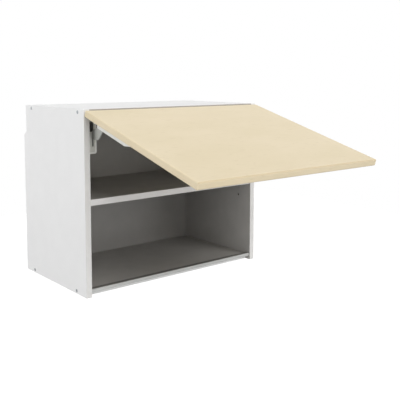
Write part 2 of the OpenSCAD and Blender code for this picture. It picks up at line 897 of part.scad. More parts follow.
module lift_base() {
    inset = cover_wall + fit_gap;
    at_left_wall() difference() {
        union() {
            translate([0, lift_front + inset, lift_bottom + inset])
                cube([base_thickness, lift_length - 2 * inset, lift_height - 2 * inset]);
            rod_x(pivot, 0, lever_x - plate_gap, lever_pin + 6);
            for (p = posts) rod_x(p, 0, lift_width - cover_wall, 7);
        }
        rod_x(pivot, -eps, lift_width, lever_pin);
        base_screw_solid(running);
    }
}

module lift_base_left() { color("silver") lift_base(); }

module lift_base_right() { color("silver") mirror([1, 0, 0]) lift_base(); }

module lift_fixing_screws() {
    color("silver") for (s = [-1, 1]) side(s) at_left_wall() {
        base_screw_solid(0);
        for (p = base_screws) rod_x(p, base_thickness, head_height, base_screw_head);
    }
}

// a box along Y whose two edges away from the side panel are rounded
module cover_block(inset, radius) {
    w = lift_width - inset;
    z0 = lift_bottom + inset;
    z1 = lift_top - inset;
    translate([0, lift_back - inset, 0]) rotate([90, 0, 0])
        linear_extrude(lift_length - 2 * inset) {
            translate([-1, z0]) square([w + 1 - radius, z1 - z0]);
            translate([-1, z0 + radius]) square([w + 1, z1 - z0 - 2 * radius]);
            for (z = [z0 + radius, z1 - radius]) translate([w - radius, z])
                circle(r = radius);
        }
}

// plastic cover with a slot in its front for the link, a wide opening beside the slot's upper
// part and a hole for the tension screw; behind the slot's inner side and lower end runs a thin
// guide
module lift_cover() {
    slot_high = adjuster_z - 7;
    at_left_wall() {
        difference() {
            cover_block(0, cover_radius);
            cover_block(cover_wall, cover_radius - cover_wall);
            translate([-2, lift_front - 1, lift_bottom - 1])
                cube([2, lift_length + 2, lift_height + 2]);
            translate([link_x - slot_play, lift_front - 1, slot_low])
                cube([link_thickness + 2 * slot_play, cover_wall + 2, slot_high - slot_low]);
            translate([window_inset, lift_front - 1, lift_bottom + window_rise])
                cube([link_x - window_inset, cover_wall + 2,
                    slot_high - lift_bottom - window_rise]);
            rod_y(adjuster_x, lift_front - 1, adjuster_z, cover_wall + 2,
                adjuster_diameter + 2 * running);
        }
        guide_x = link_x + link_thickness + slot_play;
        translate([guide_x, lift_front + into_head, slot_low - guide_wall])
            cube([guide_wall, guide_depth, guide_height]);
        translate([link_x - slot_play, lift_front + into_head, slot_low - guide_wall])
            cube([guide_x + guide_wall - link_x + slot_play, guide_depth, guide_wall]);
    }
}

module lift_cover_left() { color("gray") lift_cover(); }

module lift_cover_right() { color("gray") mirror([1, 0, 0]) lift_cover(); }

module lift_pivot_pins() {
    color("darkgray") for (s = [-1, 1]) side(s) at_left_wall() {
        rod_x(pivot, 0, link_x - plate_gap / 2, lever_pin);
        rod_x(pivot, link_x - plate_gap / 2 - eps, 1.6, lever_pin + 4);
    }
}

// lever plate: hub, arm to the link's pin, and the cam that drives the spring carriage
module lift_lever() {
    reach = norm(crank);
    heading = atan2(crank[1], crank[0]);
    at_left_wall() difference() {
        across(lever_x, lever_thickness) translate(pivot) {
            circle(r = 11);
            rotate(heading) {
                translate([0, -7]) square([reach, 14]);
                translate([reach, 0]) circle(r = 7.5);
            }
            polygon([[0, 0], for (a = [-rest_angle - 6 : 4 : full_angle - rest_angle + 6])
                cam_point(a)]);
        }
        rod_x(pivot, 0, lift_width, lever_pin + 2 * running);
        rod_x(link_end, 0, lift_width, link_pin);
    }
}

module lift_lever_left() { color("silver") lift_lever(); }

module lift_lever_right() { color("silver") mirror([1, 0, 0]) lift_lever(); }

module lever_link_pin() {
    at_left_wall() {
        rod_x(link_end, lever_x, link_x + link_thickness + 0.2 - lever_x, link_pin);
        rod_x(link_end, link_x + link_thickness + 0.2 - eps, 1.5, link_pin + 3);
    }
}

module link_pin_left() { color("darkgray") lever_link_pin(); }

module link_pin_right() { color("darkgray") mirror([1, 0, 0]) lever_link_pin(); }

// bent link plate from the lever's pin to the door bracket's pin
module lift_link() {
    eye = bracket_pin / 2 + 2;
    at_left_wall() difference() {
        across(link_x, link_thickness) {
            hull() {
                translate(link_end) circle(r = 8.5, $fn = 32);
                translate(link_bend) circle(r = link_bend_radius, $fn = 48);
            }
            hull() {
                translate(link_bend) circle(r = link_bend_radius, $fn = 48);
                translate(bracket_end) circle(r = eye, $fn = 32);
            }
        }
        rod_x(link_end, 0, lift_width, link_pin + 2 * running);
        rod_x(bracket_end, 0, lift_width, bracket_pin + 2 * running);
    }
}

module lift_link_left() { color("darkgray") lift_link(); }

module lift_link_right() { color("darkgray") mirror([1, 0, 0]) lift_link(); }

/* ---- spring pack ---- */

// slides on its rods in the abutment; its nose follows the cam
module spring_carriage() {
    z = pivot[1];
    at_left_wall() {
        translate([lever_x - 3, carriage_front, z - carriage_half])
            cube([lever_thickness + 9, carriage_depth, 2 * carriage_half]);
        translate([lever_x, nose_y, z - nose_radius])
            cube([lever_thickness, nose_radius + eps, 2 * nose_radius]);
        rod_x([nose_y, z], lever_x, lever_thickness, 2 * nose_radius);
        for (s = [-1, 1])
            rod_y(pack_x, carriage_back - eps, z + s * spring_offset, rod_end - carriage_back,
                guide_rod);
    }
}

module spring_carriage_left() { color("lightgray") spring_carriage(); }

module spring_carriage_right() { color("lightgray") mirror([1, 0, 0]) spring_carriage(); }

// closed coil: a ring of points swept along a helix
module coil(length) {
    r = (spring_outer - spring_wire) / 2;
    per_turn = 14;
    steps = spring_turns * per_turn;
    sides = 6;
    rise = length - spring_wire;
    points = [for (i = [0:steps], k = [0:sides - 1])
        let (a = 360 * i / per_turn, b = 360 * k / sides,
            q = r + spring_wire / 2 * cos(b))
        [q * cos(a), q * sin(a), spring_wire / 2 * sin(b) + spring_wire / 2 + rise * i / steps]];
    walls = [for (i = [0:steps - 1], k = [0:sides - 1])
        [i * sides + k, (i + 1) * sides + k, (i + 1) * sides + (k + 1) % sides,
            i * sides + (k + 1) % sides]];
    ends = [[for (k = [0:sides - 1]) k], [for (k = [sides - 1:-1:0]) steps * sides + k]];
    polyhedron(points, concat(walls, ends));
}

module lift_springs() {
    at_left_wall() for (s = [-1, 1])
        translate([pack_x, carriage_back + fit_gap, pivot[1] + s * spring_offset])
            rotate([-90, 0, 0]) coil(abutment_y - carriage_back - 2 * fit_gap);
}

module lift_springs_left() { color("silver") lift_springs(); }

module lift_springs_right() { color("silver") mirror([1, 0, 0]) lift_springs(); }

// block that takes the springs' rear ends and is set by the tension screw
module spring_abutments() {
    z = pivot[1];
    low = z - carriage_half;
    high = adjuster_z + adjuster_diameter / 2 + 1;
    wide = lift_width - cover_wall - fit_gap;
    color("lightgray") for (s = [-1, 1]) side(s) at_left_wall() difference() {
        translate([0, abutment_y + abutment_depth, 0]) rotate([90, 0, 0])
            linear_extrude(abutment_depth)
            polygon([[base_thickness, low], [wide, low], [wide, high - 2], [wide - 2, high],
                [base_thickness, high]]);
        for (t = [-1, 1])
            rod_y(pack_x, abutment_y - 1, z + t * spring_offset, abutment_depth + 2,
                guide_rod + 0.6);
        rod_y(adjuster_x, abutment_y - 1, adjuster_z, abutment_depth + 2, adjuster_diameter);
    }
}

module tension_screws() {
    color("dimgray") for (s = [-1, 1]) side(s) at_left_wall() difference() {
        union() {
            rod_y(adjuster_x, lift_front - 0.5, adjuster_z,
                abutment_y + abutment_depth - lift_front + 0.5, adjuster_diameter);
            rod_y(adjuster_x, lift_front - 3, adjuster_z, 3, adjuster_head);
        }
        rod_y(adjuster_x, lift_front - 3 - eps, adjuster_z, 2.2, 4, $fn = 6);
    }
}

side_panel_left();
side_panel_right();
top_panel();
bottom_panel();
back_panel();
shelf();
edge_band_side_left();
edge_band_side_right();
edge_band_top();
edge_band_shelf();
edge_band_bottom();
bottom_front_strip();
bottom_seal_lip();
confirmat_screws();
wooden_dowels();
shelf_supports();
hanger_housing_left();
hanger_housing_right();
hanger_hook_left();
hanger_hook_right();
hanger_adjusting_screws();
hanger_fixing_screws();
hinge_mounting_plates();
hinge_plate_screws();
hinge_arm_left();
hinge_arm_right();
hinge_arm_screws();
door_panel();
door_buffers();
hinge_cup_left();
hinge_cup_right();
hinge_cup_screws();
hinge_pins();
door_bracket_left();
door_bracket_right();
door_bracket_screws();
door_bracket_pins();
lift_base_left();
lift_base_right();
lift_cover_left();
lift_cover_right();
lift_fixing_screws();
lift_pivot_pins();
lift_lever_left();
lift_lever_right();
link_pin_left();
link_pin_right();
lift_link_left();
lift_link_right();
spring_carriage_left();
spring_carriage_right();
lift_springs_left();
lift_springs_right();
spring_abutments();
tension_screws();
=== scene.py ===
import math
import bpy
import bmesh
from mathutils import Matrix, Vector


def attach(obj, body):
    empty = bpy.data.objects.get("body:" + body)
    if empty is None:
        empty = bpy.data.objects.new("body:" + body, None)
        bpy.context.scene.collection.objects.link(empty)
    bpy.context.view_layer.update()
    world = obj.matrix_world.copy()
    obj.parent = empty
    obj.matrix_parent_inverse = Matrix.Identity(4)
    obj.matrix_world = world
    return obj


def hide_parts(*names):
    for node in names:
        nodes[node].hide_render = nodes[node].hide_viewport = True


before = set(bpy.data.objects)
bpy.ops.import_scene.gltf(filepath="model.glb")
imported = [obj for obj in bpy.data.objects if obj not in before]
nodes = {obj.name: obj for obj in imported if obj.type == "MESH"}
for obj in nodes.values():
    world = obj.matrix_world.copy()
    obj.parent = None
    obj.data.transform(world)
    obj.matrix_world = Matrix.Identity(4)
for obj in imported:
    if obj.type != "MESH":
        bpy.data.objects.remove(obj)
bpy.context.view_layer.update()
scene = bpy.context.scene
scene.view_settings.view_transform = "Standard"
mm = 0.001
print("frame loaded:", len(nodes), "nodes")


def linearColour(hexCode):
    code = hexCode.lstrip("#")
    parts = [int(code[i:i + 2], 16) / 255 for i in (0, 2, 4)]
    return [p / 12.92 if p <= 0.04045 else ((p + 0.055) / 1.055) ** 2.4 for p in parts] + [1.0]


def addNode(tree, kind, settings=None, links=None):
    node = tree.nodes.new(kind)
    for key, value in (settings or {}).items():
        if isinstance(key, int) or key in node.inputs:
            node.inputs[key].default_value = value
        else:
            setattr(node, key, value)
    for key, source in (links or {}).items():
        tree.links.new(source, node.inputs[key])
    return node


def startMaterial(name, roughness, metallic=0.0, ior=1.5):
    material = bpy.data.materials.new(name)
    material.use_nodes = True
    tree = material.node_tree
    tree.nodes.clear()
    shader = addNode(tree, "ShaderNodeBsdfPrincipled", {"Roughness": roughness, "Metallic": metallic})
    if not metallic:
        shader.inputs["IOR"].default_value = ior
    addNode(tree, "ShaderNodeOutputMaterial", links={"Surface": shader.outputs[0]})
    return material, tree, shader, addNode(tree, "ShaderNodeTexCoord")


def cloudedColour(tree, place, dark, light, sizeMm, stretch=(1, 1, 1), span=(0.3, 0.7), detail=3.0):
    # two close tones that drift into each other in clouds about sizeMm across, longer along a
    # stretched axis
    squeezed = addNode(tree, "ShaderNodeMapping", {"Scale": [1 / s for s in stretch]},
        {"Vector": place.outputs["Object"]})
    clouds = addNode(tree, "ShaderNodeTexNoise", {"Scale": 1 / (sizeMm * mm), "Detail": detail},
        {"Vector": squeezed.outputs[0]})
    tones = addNode(tree, "ShaderNodeValToRGB", links={"Fac": clouds.outputs["Fac"]})
    first, last = tones.color_ramp.elements
    first.position, last.position = span
    first.color, last.color = linearColour(dark), linearColour(light)
    return tones.outputs["Color"]


def pressTexture(tree, shader, place, sizeMm, roughness, strength, depthMm, stretch=(1, 1, 1),
        detail=3.0):
    # a fine relief about sizeMm across that both breaks the sheen and catches the light
    squeezed = addNode(tree, "ShaderNodeMapping", {"Scale": [1 / s for s in stretch]},
        {"Vector": place.outputs["Object"]})
    relief = addNode(tree, "ShaderNodeTexNoise",
        {"Scale": 1 / (sizeMm * mm), "Detail": detail, "Roughness": 0.55},
        {"Vector": squeezed.outputs[0]}).outputs["Fac"]
    sheen = addNode(tree, "ShaderNodeMapRange", {"To Min": roughness[0], "To Max": roughness[1]},
        {"Value": relief})
    tree.links.new(sheen.outputs[0], shader.inputs["Roughness"])
    bump = addNode(tree, "ShaderNodeBump", {"Strength": strength, "Distance": depthMm * mm},
        {"Height": relief})
    tree.links.new(bump.outputs[0], shader.inputs["Normal"])


def facesBack(tree, place, limit=0.35):
    # 1 on the cut faces that look towards the wall, 0 elsewhere
    normal = addNode(tree, "ShaderNodeSeparateXYZ", links={0: place.outputs["Normal"]})
    test = addNode(tree, "ShaderNodeMath", {"operation": "GREATER_THAN", 1: limit},
        {0: normal.outputs["Y"]})
    return test.outputs[0]


def withinLimits(tree, place, limits):
    # 1 where every axis lies between its two limits in mm, 0 elsewhere; X counts the same on both
    # sides of the middle
    axes = addNode(tree, "ShaderNodeSeparateXYZ", links={0: place.outputs["Object"]})
    across = addNode(tree, "ShaderNodeMath", {"operation": "ABSOLUTE"}, {0: axes.outputs["X"]})
    source = {"X": across.outputs[0], "Y": axes.outputs["Y"], "Z": axes.outputs["Z"]}
    within = addNode(tree, "ShaderNodeValue")
    within.outputs[0].default_value = 1
    for axis, pair in limits.items():
        for operation, limit in zip(("GREATER_THAN", "LESS_THAN"), pair):
            test = addNode(tree, "ShaderNodeMath", {"operation": operation, 1: limit * mm},
                {0: source[axis]})
            within = addNode(tree, "ShaderNodeMath", {"operation": "MULTIPLY"},
                {0: test.outputs[0], 1: within.outputs[0]})
    return within.outputs[0]


# melamine-faced particleboard, pressed against a pearl-grained plate: a soft satin sheen broken by
# a fine pearl. The carcass boards are white outside and grey on the faces inside the cabinet. Their
# cut rear edges show the raw chips. Their bores are painted dark: raw chip brown with painted shade
# of the deep holes laid over it, as in the photo. The real pearl is about 0.6 mm across and the
# smallest chips 1 mm; both are drawn at 2.5 mm.
melamine = {"white": "#f0f0f0", "whiteShade": "#eeeeee", "grey": "#a9a7a4", "greyShade": "#a3a19e",
    "mottleMm": 45, "pearlMm": 2.5, "roughness": (0.40, 0.50), "insideX": 284.2,
    "chipLight": "#cdb48a", "chipDark": "#a08058", "chipMm": 2.5, "boreChipsAndShade": "#4a3d2d",
    "boreLimits": {"X": (284.2, 299.7), "Y": (-348.5, -15), "Z": (1, 489)}}


def pressedMelamine(name, insideZ=None):
    # insideZ: the heights between which a carcass board is grey; a board without it is grey all over
    spec = melamine
    material, tree, shader, place = startMaterial(name, 0.45)
    colour = cloudedColour(tree, place, spec["greyShade"], spec["grey"], spec["mottleMm"],
        span=(0.35, 0.65))
    if insideZ:
        inside = withinLimits(tree, place, {"X": (-1, spec["insideX"]), "Z": insideZ})
        white = cloudedColour(tree, place, spec["whiteShade"], spec["white"], spec["mottleMm"],
            span=(0.35, 0.65))
        colour = addNode(tree, "ShaderNodeMix", {"data_type": "RGBA"},
            {"Factor": inside, 6: white, 7: colour}).outputs[2]
        # the bores: raw chip brown darkened further by painted shade of the deep holes
        boreShadeMask = withinLimits(tree, place, spec["boreLimits"])
        colour = addNode(tree, "ShaderNodeMix", {"data_type": "RGBA", 7: linearColour(spec["boreChipsAndShade"])},
            {"Factor": boreShadeMask, 6: colour}).outputs[2]
        chips = cloudedColour(tree, place, spec["chipDark"], spec["chipLight"], spec["chipMm"],
            stretch=(1, 1, 2.5), span=(0.3, 0.7), detail=2)
        colour = addNode(tree, "ShaderNodeMix", {"data_type": "RGBA"},
            {"Factor": facesBack(tree, place), 6: colour, 7: chips}).outputs[2]
    tree.links.new(colour, shader.inputs["Base Color"])
    pressTexture(tree, shader, place, spec["pearlMm"], spec["roughness"], 0.12, 0.1)
    return material


# hardboard back: lacquered grey on the side that shows in the cabinet, raw brown fibres behind.
# The real fibre bundles are 0.3 mm wide and are drawn broader so that they show.
backBoard = {"fibreLight": "#a5845f", "fibreDark": "#98774f", "fibreMm": 1.6, "roughness": (0.48, 0.6)}


def lacqueredHardboard():
    spec = backBoard
    material, tree, shader, place = startMaterial("hardboard lacquered", 0.5)
    front = cloudedColour(tree, place, melamine["greyShade"], melamine["grey"], melamine["mottleMm"])
    raw = cloudedColour(tree, place, spec["fibreDark"], spec["fibreLight"], spec["fibreMm"],
        stretch=(2, 1, 2), span=(0.25, 0.75), detail=4)
    colour = addNode(tree, "ShaderNodeMix", {"data_type": "RGBA"},
        {"Factor": facesBack(tree, place), 6: front, 7: raw})
    tree.links.new(colour.outputs[2], shader.inputs["Base Color"])
    pressTexture(tree, shader, place, spec["fibreMm"], spec["roughness"], 0.1, 0.06, detail=4)
    return material


# cream foil printed with birch and wrapped round a fibreboard door: very faint lengthwise fibres
# and short flecks under a satin lacquer. Real fibres are 0.3 mm wide and are drawn at 2 mm.
# Round the door's lower front edge its tone is darker, which keeps that edge without a highlight, as
# in the photo. It isn't wear.
birchFoil = {"light": "#e4d5b6", "dark": "#e0d1b0", "cloudMm": 70, "fibreMm": 2.0, "fibreStretch": 22,
    "fleck": "#d8c8a6", "fleckMm": 5, "fleckStretch": 5, "fleckSpan": (0.62, 0.74), "fleckShare": 0.5,
    "edgeTone": "#cbb996", "edgeFacing": (0, -0.877, 0.48), "edgeSpan": (0.75, 0.95),
    "roughness": (0.40, 0.50)}


def wrappedBirchFoil():
    spec = birchFoil
    material, tree, shader, place = startMaterial("birch foil wrapped", 0.45)
    base = cloudedColour(tree, place, spec["dark"], spec["light"], spec["cloudMm"],
        stretch=(2.4, 1, 1), span=(0.35, 0.65))
    squeezed = addNode(tree, "ShaderNodeMapping", {"Scale": (1 / spec["fleckStretch"], 1, 1)},
        {"Vector": place.outputs["Object"]})
    flecks = addNode(tree, "ShaderNodeTexNoise", {"Scale": 1 / (spec["fleckMm"] * mm), "Detail": 1.0},
        {"Vector": squeezed.outputs[0]})
    least, most = spec["fleckSpan"]
    share = addNode(tree, "ShaderNodeMapRange",
        {"From Min": least, "From Max": most, "To Max": spec["fleckShare"]},
        {"Value": flecks.outputs["Fac"]})
    colour = addNode(tree, "ShaderNodeMix", {"data_type": "RGBA", 7: linearColour(spec["fleck"])},
        {"Factor": share.outputs[0], 6: base})
    facing = addNode(tree, "ShaderNodeVectorMath", {"operation": "DOT_PRODUCT", 1: spec["edgeFacing"]},
        {0: place.outputs["Normal"]})
    least, most = spec["edgeSpan"]
    onEdge = addNode(tree, "ShaderNodeMapRange", {"From Min": least, "From Max": most},
        {"Value": facing.outputs["Value"]})
    colour = addNode(tree, "ShaderNodeMix", {"data_type": "RGBA", 7: linearColour(spec["edgeTone"])},
        {"Factor": onEdge.outputs[0], 6: colour.outputs[2]})
    tree.links.new(colour.outputs[2], shader.inputs["Base Color"])
    pressTexture(tree, shader, place, spec["fibreMm"], spec["roughness"], 0.08, 0.1,
        stretch=(spec["fibreStretch"], 1, 1), detail=5)
    return material


def mouldedPlastic(name, light, dark, roughness, sparkMm=1.6, depth=0.15, cloudMm=30):
    # spark-eroded mould texture: a fine even matt grain, drawn coarser than the real 0.2 mm
    material, tree, shader, place = startMaterial(name, roughness, ior=1.49)
    tree.links.new(cloudedColour(tree, place, dark, light, cloudMm), shader.inputs["Base Color"])
    pressTexture(tree, shader, place, sparkMm, (roughness - 0.06, roughness + 0.08), depth, 0.08,
        detail=2)
    return material


def workedSteel(name, light, dark, roughness, streakMm=0.9, stretch=(1, 14, 1), cloudMm=12):
    # a metal surface with the streaks that rolling, drawing or turning leaves along one axis
    material, tree, shader, place = startMaterial(name, roughness, metallic=1.0)
    tree.links.new(cloudedColour(tree, place, dark, light, cloudMm), shader.inputs["Base Color"])
    pressTexture(tree, shader, place, streakMm, (roughness - 0.07, roughness + 0.1), 0.08, 0.05,
        stretch=stretch, detail=4)
    return material


def coatedMetal(name, light, dark, roughness, peelMm=2.2, cloudMm=25):
    # powder coat: an even orange peel about 1 mm across, drawn at twice that
    material, tree, shader, place = startMaterial(name, roughness, ior=1.52)
    tree.links.new(cloudedColour(tree, place, dark, light, cloudMm), shader.inputs["Base Color"])
    pressTexture(tree, shader, place, peelMm, (roughness - 0.05, roughness + 0.06), 0.12, 0.1, detail=1)
    return material


# raw fluted beech: warm short rays along the dowel
beechDowel = {"light": "#d9b98a", "dark": "#b98f5e", "fibreMm": 0.7, "fibreStretch": 12,
    "roughness": (0.52, 0.7)}


def flutedBeech():
    spec = beechDowel
    material, tree, shader, place = startMaterial("beech fluted", 0.6)
    along = (spec["fibreStretch"], 1, 1)
    colour = cloudedColour(tree, place, spec["dark"], spec["light"], spec["fibreMm"], along, detail=4)
    tree.links.new(colour, shader.inputs["Base Color"])
    pressTexture(tree, shader, place, spec["fibreMm"], spec["roughness"], 0.3, 0.2, along)
    return material


finishes = {
    # upright boards are grey inside over their whole height, lying boards on one face only
    "sideBoard": pressedMelamine("melamine side board white and grey pressed", (-1, 491)),
    "deckBoard": pressedMelamine("melamine deck board white and grey pressed", (15.8, 474.2)),
    "greyBoard": pressedMelamine("melamine board grey pressed"),
    "backBoard": lacqueredHardboard(),
    "foil": wrappedBirchFoil(),
    # ABS edge band, extruded and glued on: a little smoother than the board
    "band": mouldedPlastic("abs edge band extruded white", "#e2e1df", "#dddcda", 0.38,
        sparkMm=3, depth=0.06),
    # the bottom panel's edge band is painted brighter than the other bands: painted light that lifts it
    # out of the shade under the aluminium nose
    "bottomBandPaintedLight": mouldedPlastic("abs edge band extruded white painted light", "#f4f4f2", "#f0f0ee", 0.38,
        sparkMm=3, depth=0.06),
    "shelfBand": mouldedPlastic("abs edge band extruded pale grey", "#e9e8e7", "#e4e3e2", 0.38,
        sparkMm=3, depth=0.06),
    # the top panel's edge band is painted beige grey: painted shade of the narrow crack under the door,
    # warmed by a painted reflection of the cream door
    "topBandPaintedShade": mouldedPlastic("abs edge band painted crack shade beige grey", "#a8a198", "#a29b92", 0.45,
        sparkMm=3, depth=0.06),
    # aluminium profile, drawn and powder coated light grey
    "strip": coatedMetal("aluminium profile powder coated", "#c2c3c1", "#bbbcba", 0.42),
    # soft elastomer seal: matt and dark, it takes the light dully
    "lip": mouldedPlastic("elastomer seal extruded", "#75736f", "#6c6a67", 0.7, depth=0.1),
    # injection-moulded fittings, each with the grain of its spark-eroded mould
    "cover": mouldedPlastic("abs cover moulded grey", "#dbddd7", "#d3d5cf", 0.5),
    "rim": mouldedPlastic("abs trim moulded pale grey", "#f2f3ef", "#ecede9", 0.42),
    "nylon": mouldedPlastic("nylon moulded", "#b9b9b3", "#aeaea8", 0.42),
    "hanger": mouldedPlastic("polyamide housing moulded", "#d5d5d2", "#cbcbc8", 0.45),
    # cast polyurethane, almost smooth
    "buffer": mouldedPlastic("polyurethane buffer cast", "#d8d8d4", "#cfcfca", 0.3, depth=0.05),
    # steel: zinc plated after pressing, turned pins, blackened screws and drawn spring wire
    "zinc": workedSteel("steel zinc plated rolled", "#c9ccce", "#b2b6ba", 0.34),
    "turned": workedSteel("steel pin turned", "#b4b5b6", "#9c9d9f", 0.26, streakMm=0.4,
        stretch=(14, 1, 1)),
    "black": workedSteel("steel blackened", "#4a4948", "#383736", 0.5, streakMm=1.2, stretch=(1, 1, 1)),
    "wire": workedSteel("spring steel wire drawn", "#8d8e90", "#75767a", 0.3, stretch=(1, 6, 1)),
    # pressed steel, powder coated
    "arm": coatedMetal("steel link powder coated grey", "#b4b6b1", "#acaea9", 0.42),
    "bracket": coatedMetal("steel bracket powder coated pale", "#e5e5e1", "#dfdfdb", 0.4),
    "beech": flutedBeech(),
}
print("finishes made:", len(finishes))

nodeFinish = {
    "sideBoard": ["side_panel_left", "side_panel_right"],
    "deckBoard": ["top_panel", "bottom_panel"],
    "greyBoard": ["shelf"],
    "backBoard": ["back_panel"],
    "foil": ["door_panel"],
    "band": ["edge_band_side_left", "edge_band_side_right"],
    "bottomBandPaintedLight": ["edge_band_bottom"],
    "shelfBand": ["edge_band_shelf"],
    "topBandPaintedShade": ["edge_band_top"],
    "strip": ["bottom_front_strip"],
    "lip": ["bottom_seal_lip"],
    "black": ["hinge_arm_screws", "tension_screws"],
    "beech": ["wooden_dowels"],
    "zinc": ["confirmat_screws", "shelf_supports", "hanger_hook_left", "hanger_hook_right",
        "hanger_adjusting_screws", "hanger_fixing_screws", "hinge_mounting_plates", "hinge_plate_screws",
        "hinge_arm_left", "hinge_arm_right", "hinge_cup_left", "hinge_cup_right", "hinge_cup_screws",
        "lift_base_left", "lift_base_right", "lift_fixing_screws", "lift_lever_left", "lift_lever_right",
        "door_bracket_screws"],
    "turned": ["hinge_pins", "door_bracket_pins", "lift_pivot_pins", "link_pin_left", "link_pin_right"],
    "hanger": ["hanger_housing_left", "hanger_housing_right"],
    "buffer": ["door_buffers"],
    "bracket": ["door_bracket_left", "door_bracket_right"],
    "cover": ["lift_cover_left", "lift_cover_right"],
    "arm": ["lift_link_left", "lift_link_right"],
    "nylon": ["spring_carriage_left", "spring_carriage_right", "spring_abutments"],
    "wire": ["lift_springs_left", "lift_springs_right"],
}
for finish, names in nodeFinish.items():
    for name in names:
        for holder in nodes[name].material_slots:
            holder.material = finishes[finish]

def roundEdges(holder, size, segments, sharpest):
    # rounds every edge that turns by more than sharpest degrees; the size is in mm
    bevel = holder.modifiers.new("edge rounding", "BEVEL")
    bevel.width = size * mm
    bevel.segments = segments
    bevel.limit_method = "ANGLE"
    bevel.angle_limit = math.radians(sharpest)


# edge roundings in mm, which catch the light as on the real boards and pressings
edgeRounding = {"sideBoard": 0.4, "deckBoard": 0.4, "greyBoard": 0.4, "band": 0.45, "bottomBandPaintedLight": 0.3,
    "shelfBand": 0.4, "topBandPaintedShade": 0.4, "strip": 0.3, "lip": 0.4, "cover": 0.5, "bracket": 0.4, "arm": 0.5,
    "nylon": 0.4, "hanger": 0.7}
for finish, size in edgeRounding.items():
    for name in nodeFinish[finish]:
        roundEdges(nodes[name], size, 2, 40)
print("finishes assigned")

# the closed door's frame swung to the opening at which the model stands, in mm
doorSwing = {"axis": (0, -360, 476.2), "open": 74}
onDoor = (Matrix.Translation(Vector(doorSwing["axis"]))
    @ Matrix.Rotation(math.radians(-doorSwing["open"]), 4, "X")
    @ Matrix.Translation(-Vector(doorSwing["axis"])))


def finishPiece(name, mesh, finish, body, rounding=0):
    # turns a bmesh in mm into a closed piece in metres that rides on its body
    bmesh.ops.scale(mesh, vec=(mm, mm, mm), verts=mesh.verts)
    bmesh.ops.recalc_face_normals(mesh, faces=mesh.faces)
    data = bpy.data.meshes.new(name)
    mesh.to_mesh(data)
    mesh.free()
    data.materials.append(finishes[finish])
    piece = bpy.data.objects.new(name, data)
    scene.collection.objects.link(piece)
    if rounding:
        roundEdges(piece, rounding, 3, 35)
    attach(piece, body)
    return piece


def arc(centre, radius, start, end, steps):
    # points from the start angle to the end angle, both counted
    turns = [math.radians(start + (end - start) * i / steps) for i in range(steps + 1)]
    return [(centre[0] + radius * math.cos(t), centre[1] + radius * math.sin(t)) for t in turns]


def circle(centre, radius, sides):
    return arc(centre, radius, 0, 360 * (sides - 1) / sides, sides - 1)


def raisePlate(mesh, outline, place, depth):
    # a plate with this [u, v] outline; place turns (u, v, height) into a point of the cabinet
    rings = [[mesh.verts.new(place(u, v, h)) for u, v in outline] for h in (0, depth)]
    count = len(outline)
    for ring in rings:
        mesh.faces.new(ring)
    for i in range(count):
        mesh.faces.new([rings[0][i], rings[0][(i + 1) % count], rings[1][(i + 1) % count], rings[1][i]])


# half the width between the side panels and the depth from the wall to their front edges, in mm
cabinet = {"inner": 284, "depth": 350}

# pale frame round the lift cover's front: a leg down its inner side and a foot along its lower end
liftTrim = {"left": 1.0, "right": 28.85, "low": 374.15, "high": 456, "leg": 5.2, "foot": 4.0,
    "corner": 6.5, "front": 15.0, "depth": 1.2, "rounding": 0.35}
# on the side that faces into the cabinet: a round cap over the lever's axis and a row of grip ribs
liftSide = {"face": 28.4, "proud": 1.4, "capAt": (68, 447), "capRadius": 11, "capSides": 45,
    "ringRadius": 8, "ringSides": 36, "ringProud": 2.2, "ribFrom": 88, "ribTo": 150, "ribWidth": 3,
    "ribAt": (392, 401, 410, 419, 428), "rounding": 0.5}

def buildLiftTrim(side, name):
    # u runs inwards from the side panel, v upwards and h back into the cabinet
    spec = liftTrim
    mesh = bmesh.new()
    right, low, high, corner = spec["right"], spec["low"], spec["high"], spec["corner"]
    inner = corner - min(spec["leg"], spec["foot"])
    half = spec["leg"] / 2
    outline = ([(spec["left"], low)] + arc((right - corner, low + corner), corner, -90, 0, 8)
        + arc((right - half, high - half), half, 0, 180, 10)
        + arc((right - spec["leg"] - inner, low + spec["foot"] + inner), inner, 0, -90, 6)
        + [(spec["left"], low + spec["foot"])])
    raisePlate(mesh, outline, lambda u, v, h: (side * (cabinet["inner"] - u),
        spec["front"] - cabinet["depth"] + h, v), spec["depth"])
    finishPiece("lift_trim_" + name, mesh, "rim", "carcass", spec["rounding"])


def buildLiftSide(side, name):
    # u runs back from the side panels' front edges, v upwards and h towards the middle
    spec = liftSide
    mesh = bmesh.new()
    place = lambda u, v, h: (side * (cabinet["inner"] - spec["face"] - h), u - cabinet["depth"], v)
    raisePlate(mesh, circle(spec["capAt"], spec["capRadius"], spec["capSides"]), place, spec["proud"])
    raisePlate(mesh, circle(spec["capAt"], spec["ringRadius"], spec["ringSides"]), place,
        spec["ringProud"])
    half = spec["ribWidth"] / 2
    for height in spec["ribAt"]:
        rib = (arc((spec["ribTo"] - half, height), half, -90, 90, 8)
            + arc((spec["ribFrom"] + half, height), half, 90, 270, 8))
        raisePlate(mesh, rib, place, spec["proud"])
    finishPiece("lift_side_relief_" + name, mesh, "cover", "carcass", spec["rounding"])


for side, name in ((-1, "left"), (1, "right")):
    buildLiftTrim(side, name)
    buildLiftSide(side, name)
print("lift trims built")


# pan-head screws with a cross recess; what isn't in mm is a share of the head's radius or height
panHead = {"sides": 32, "slotWidth": 0.32, "slotReach": 0.48, "slotDepth": 0.6, "slotTaper": 0.7,
    "dome": ((1.0, 0.4), (0.93, 0.75), (0.8, 0.94), (0.62, 1.0)), "rounding": 0.12}


